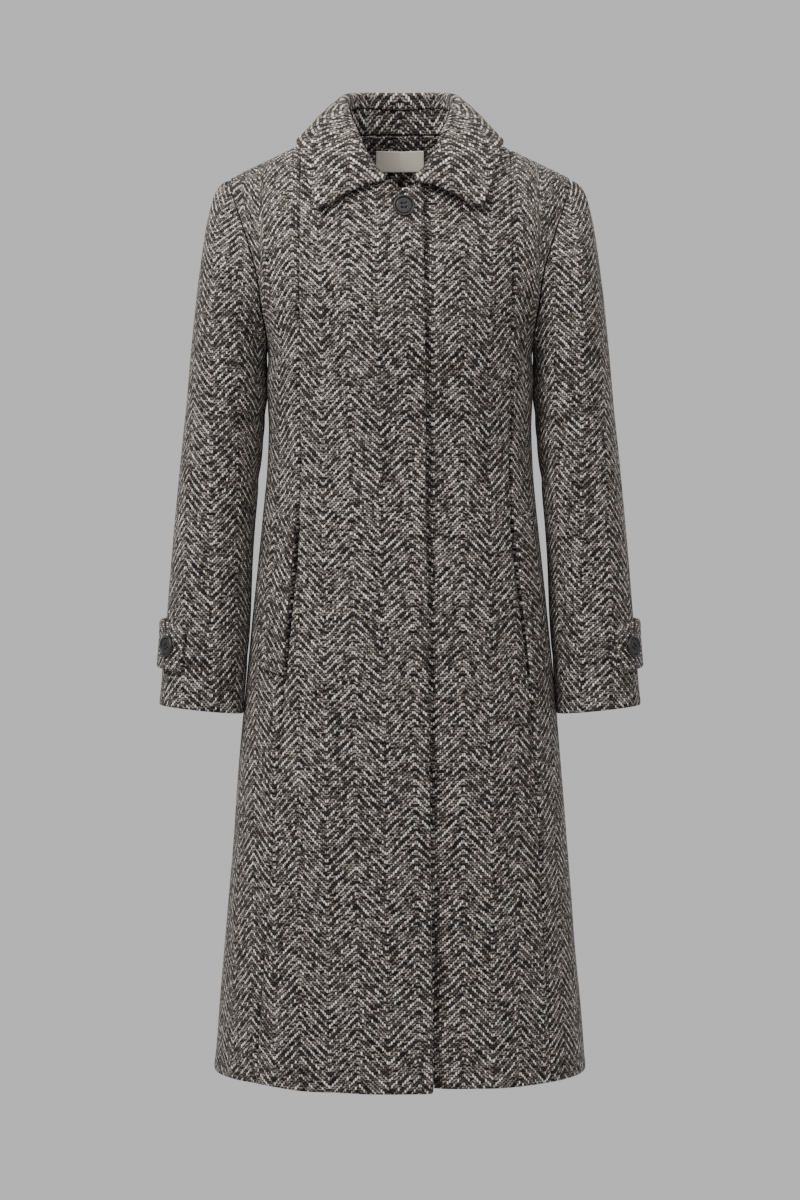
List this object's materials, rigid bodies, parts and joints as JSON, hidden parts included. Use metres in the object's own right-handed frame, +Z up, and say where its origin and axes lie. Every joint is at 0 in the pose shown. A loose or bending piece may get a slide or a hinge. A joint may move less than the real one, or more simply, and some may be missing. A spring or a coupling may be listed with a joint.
{
  "type": "wool overcoat",
  "caption": "Hollow women's A-line wool overcoat in herringbone tweed with a turn-down collar, princess seams, slanted welt pockets and buttoned cuff tabs.",
  "frame": {"origin": "middle of the line between the two shoulder seams, level with the side neck, where the coat hangs on the wearer", "axes": "+X towards the wearer's left, -Y out of the coat's front, +Z up along the wearer"},
  "size_m": [0.5462, 0.3107, 1.1238],
  "materials": {
    "tweed": "thick brushed wool tweed in a charcoal and beige-grey herringbone",
    "label_satin": "plain grey-beige woven satin",
    "button_resin": "dark grey-brown mottled resin with a soft shine"
  },
  "bodies": {
    "root": {"front_right": "tweed", "front_left": "tweed", "side_front_right": "tweed", "side_front_left": "tweed", "back_right": "tweed", "back_left": "tweed", "upper_sleeve_right": "tweed", "upper_sleeve_left": "tweed", "under_sleeve_right": "tweed", "under_sleeve_left": "tweed", "collar_fall": "tweed", "collar_stand": "tweed", "back_facing": "tweed", "pocket_welt_right": "tweed", "pocket_welt_left": "tweed", "cuff_tab_right": "tweed", "cuff_tab_left": "tweed", "neck_label": "label_satin", "neck_button": "button_resin", "cuff_button_right": "button_resin", "cuff_button_left": "button_resin"}
  },
  "joints": []
}
